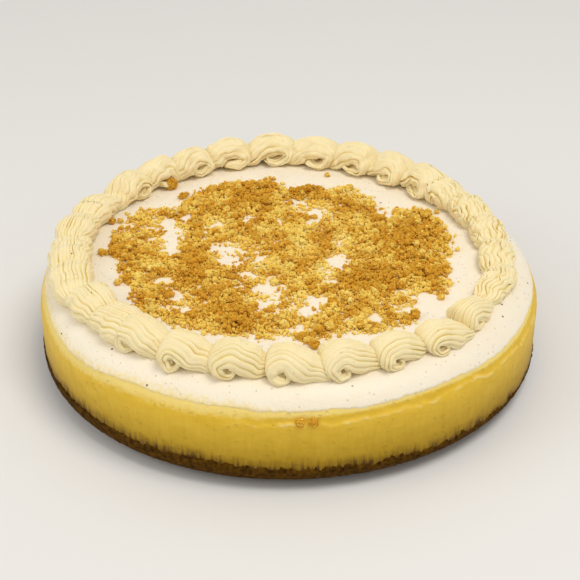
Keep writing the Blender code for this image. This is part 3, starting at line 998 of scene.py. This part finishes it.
def filling_material():
    material, tree, shader, position = begin_material("baked_cheese", 0.5, 0.06)
    shader.inputs["Specular IOR Level"].default_value = 0.16
    flattened = add(tree, "ShaderNodeVectorMath", (position, 0), ((1, 1, 1.9), 1), operation="MULTIPLY")
    clouds = put_group(tree, UNEVEN, Position=flattened.outputs[0], Scale=95.0, Sharpness=1.7,
                       Light=(0.83, 0.55, 0.056, 1), Dark=(0.71, 0.45, 0.028, 1))
    # Painted shade: these darker colours stand for the shade on the lower part of the filling's side.
    low = put_group(tree, UNEVEN, Position=flattened.outputs[0], Scale=150.0, Sharpness=1.6,
                    Light=(0.45, 0.275, 0.010, 1), Dark=(0.36, 0.21, 0.004, 1))
    drawn = add(tree, "ShaderNodeVectorMath", (position, 0), ((1, 1, 0.10), 1), operation="MULTIPLY")
    streaks = put_group(tree, UNEVEN, Position=drawn.outputs[0], Scale=560.0, Sharpness=2.2,
                        Light=(0.6, 0.6, 0.6, 1), Dark=(0.4, 0.4, 0.4, 1))
    height = add(tree, "ShaderNodeSeparateXYZ", (position, 0)).outputs[2]
    swayed = sum_of(tree, streaks.outputs["Height"], 9 * MM, height)
    # Painted shade: between heights of about 42 mm and 13 mm the side is mixed more and more towards the
    # darker colours.
    colour = add(tree, "ShaderNodeMix", (fade(tree, swayed, 13 * MM, 42 * MM), "Factor"),
                 (clouds.outputs["Colour"], 6), (low.outputs["Colour"], 7), data_type="RGBA").outputs[2]
    crept = measured(tree, "above_crust")
    crept = sum_of(tree, clouds.outputs["Height"], -8.0, crept)
    stain = fade(tree, sum_of(tree, streaks.outputs["Height"], -12.0, crept), -10.5, -3.5)
    colour = overlay(tree, colour, sum_of(tree, stain, 0.9, 0.0), (0.21, 0.115, 0.004))
    teeth = fade(tree, sum_of(tree, streaks.outputs["Height"], -15.0, crept), -13.6, -10.0)
    colour = overlay(tree, colour, teeth, (0.085, 0.034, 0.002))
    grains = put_group(tree, UNEVEN, Position=position, Scale=520.0, Sharpness=1.5,
                       Light=(0.6, 0.6, 0.6, 1), Dark=(0.4, 0.4, 0.4, 1))
    smeared = fade(tree, sum_of(tree, grains.outputs["Height"], 1.5, measured(tree, "smeared")), 1.65, 0.75)
    colour = overlay(tree, colour, sum_of(tree, smeared, 0.80, 0.0), (0.90, 0.71, 0.24))
    colour = overlay(tree, colour, sum_of(tree, measured(tree, "lip"), 0.85, 0.0), (0.86, 0.66, 0.25))
    dots = put_group(tree, SPECKS, Position=position, Scale=95.0, Size=0.10, Share=0.10)
    pits = put_group(tree, SPECKS, Position=position, Scale=300.0, Size=0.30, Share=0.30)
    colour = overlay(tree, colour, dots.outputs[0], (0.20, 0.10, 0.01))
    rough = sum_of(tree, pits.outputs[0], -0.7, low.outputs["Height"])
    finish_material(tree, shader, colour, rough, 0.45 * MM)
    return material


def crust_material():
    material, tree, shader, position = begin_material("dark_crumb_crust", 0.85)
    shader.inputs["Specular IOR Level"].default_value = 0.06
    clouds = put_group(tree, UNEVEN, Position=position, Scale=420.0, Sharpness=2.6,
                       Light=(0.135, 0.060, 0.003, 1), Dark=(0.024, 0.009, 0.001, 1))
    finish_material(tree, shader, clouds.outputs["Colour"], clouds.outputs["Height"], 0.9 * MM)
    return material


def crumb_material():
    material, tree, shader, position = begin_material("golden_crumb", 0.85, 0.32)
    shader.inputs["Specular IOR Level"].default_value = 0.1
    fine = put_group(tree, UNEVEN, Position=position, Scale=800.0, Sharpness=2.0,
                     Light=(1, 1, 1, 1), Dark=(0, 0, 0, 1))
    shade = sum_of(tree, fine.outputs["Height"], 0.7, sum_of(tree, measured(tree, "tone"), 1.0, 0.08))
    ramp = add(tree, "ShaderNodeValToRGB", (shade, 0))
    stops = ramp.color_ramp.elements
    stops[0].position, stops[0].color = 0.40, (0.95, 0.77, 0.28, 1)
    stops[1].position, stops[1].color = 0.88, (0.86, 0.55, 0.092, 1)
    for place, colour in ((1.0, (0.66, 0.33, 0.030, 1)), (0.66, (0.94, 0.67, 0.155, 1))):
        stop = stops.new(place)
        stop.color = colour
    finish_material(tree, shader, ramp.outputs["Color"], fine.outputs["Height"], 0.2 * MM)
    return material


def wear(piece, material):
    piece.data.materials.clear()
    piece.data.materials.append(material)


# ------------------------------------------------------------------ the studio

def set_camera():
    climb = math.radians(CAMERA_CLIMB)
    data = bpy.data.cameras.new("picture_camera")
    data.lens = CAMERA_LENS
    data.sensor_width = 36
    camera = bpy.data.objects.new("picture_camera", data)
    bpy.context.scene.collection.objects.link(camera)
    camera.location = Vector(CAMERA_TARGET) + CAMERA_DISTANCE * Vector((0, -math.cos(climb), math.sin(climb)))
    aim = Vector(CAMERA_AIM) - camera.location
    camera.rotation_euler = aim.to_track_quat("-Z", "Y").to_euler()
    bpy.context.scene.camera = camera


def add_lamp(name, place, size, watts, tint):
    data = bpy.data.lights.new(name, "AREA")
    data.shape = "DISK"
    data.size = size
    data.energy = watts
    data.color = tint
    lamp = bpy.data.objects.new(name, data)
    bpy.context.scene.collection.objects.link(lamp)
    lamp.location = place
    lamp.rotation_euler = (Vector((0, 0, 30 * MM)) - Vector(place)).to_track_quat("-Z", "Y").to_euler()


def set_studio():
    bpy.ops.object.select_all(action="DESELECT")
    bpy.ops.mesh.primitive_plane_add(size=6, location=(0, 0, 0))
    floor = settle("studio_floor")
    move_points(floor, read_points(floor) - (0, 0, 0.2 * MM))
    wear(floor, plain_material("pale_floor", (0.78, 0.77, 0.75), 0.7))
    world = bpy.data.worlds.new("studio_air")
    bpy.context.scene.world = world
    world.use_nodes = True
    world.node_tree.nodes["Background"].inputs["Color"].default_value = (1.0, 0.98, 0.95, 1)
    world.node_tree.nodes["Background"].inputs["Strength"].default_value = 0.62
    for lamp in LAMPS:
        add_lamp(*lamp)
    bpy.context.scene.view_settings.view_transform = "Standard"


# ------------------------------------------------------------------ putting it together

SHELL_NAMES = sorted(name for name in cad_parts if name.startswith("piped_swirl_"))

set_camera()
set_studio()
crust = make_crust()
filling = make_filling()
cream = make_cream()
shells = [make_shell(name) for name in SHELL_NAMES]
clumps = place_clumps(clump_spots())
crumbs = [make_crumb_bed(), make_clump_cores(clumps), make_clump_grains(clumps), *make_grains()]

UNEVEN = uneven_colour_group()
SPECKS = specks_group()
wear(crust, crust_material())
wear(filling, filling_material())
wear(cream, spread_cream_material())
piped = piped_cream_material()
for shell in shells:
    wear(shell, piped)
golden = crumb_material()
for piece in crumbs:
    wear(piece, golden)
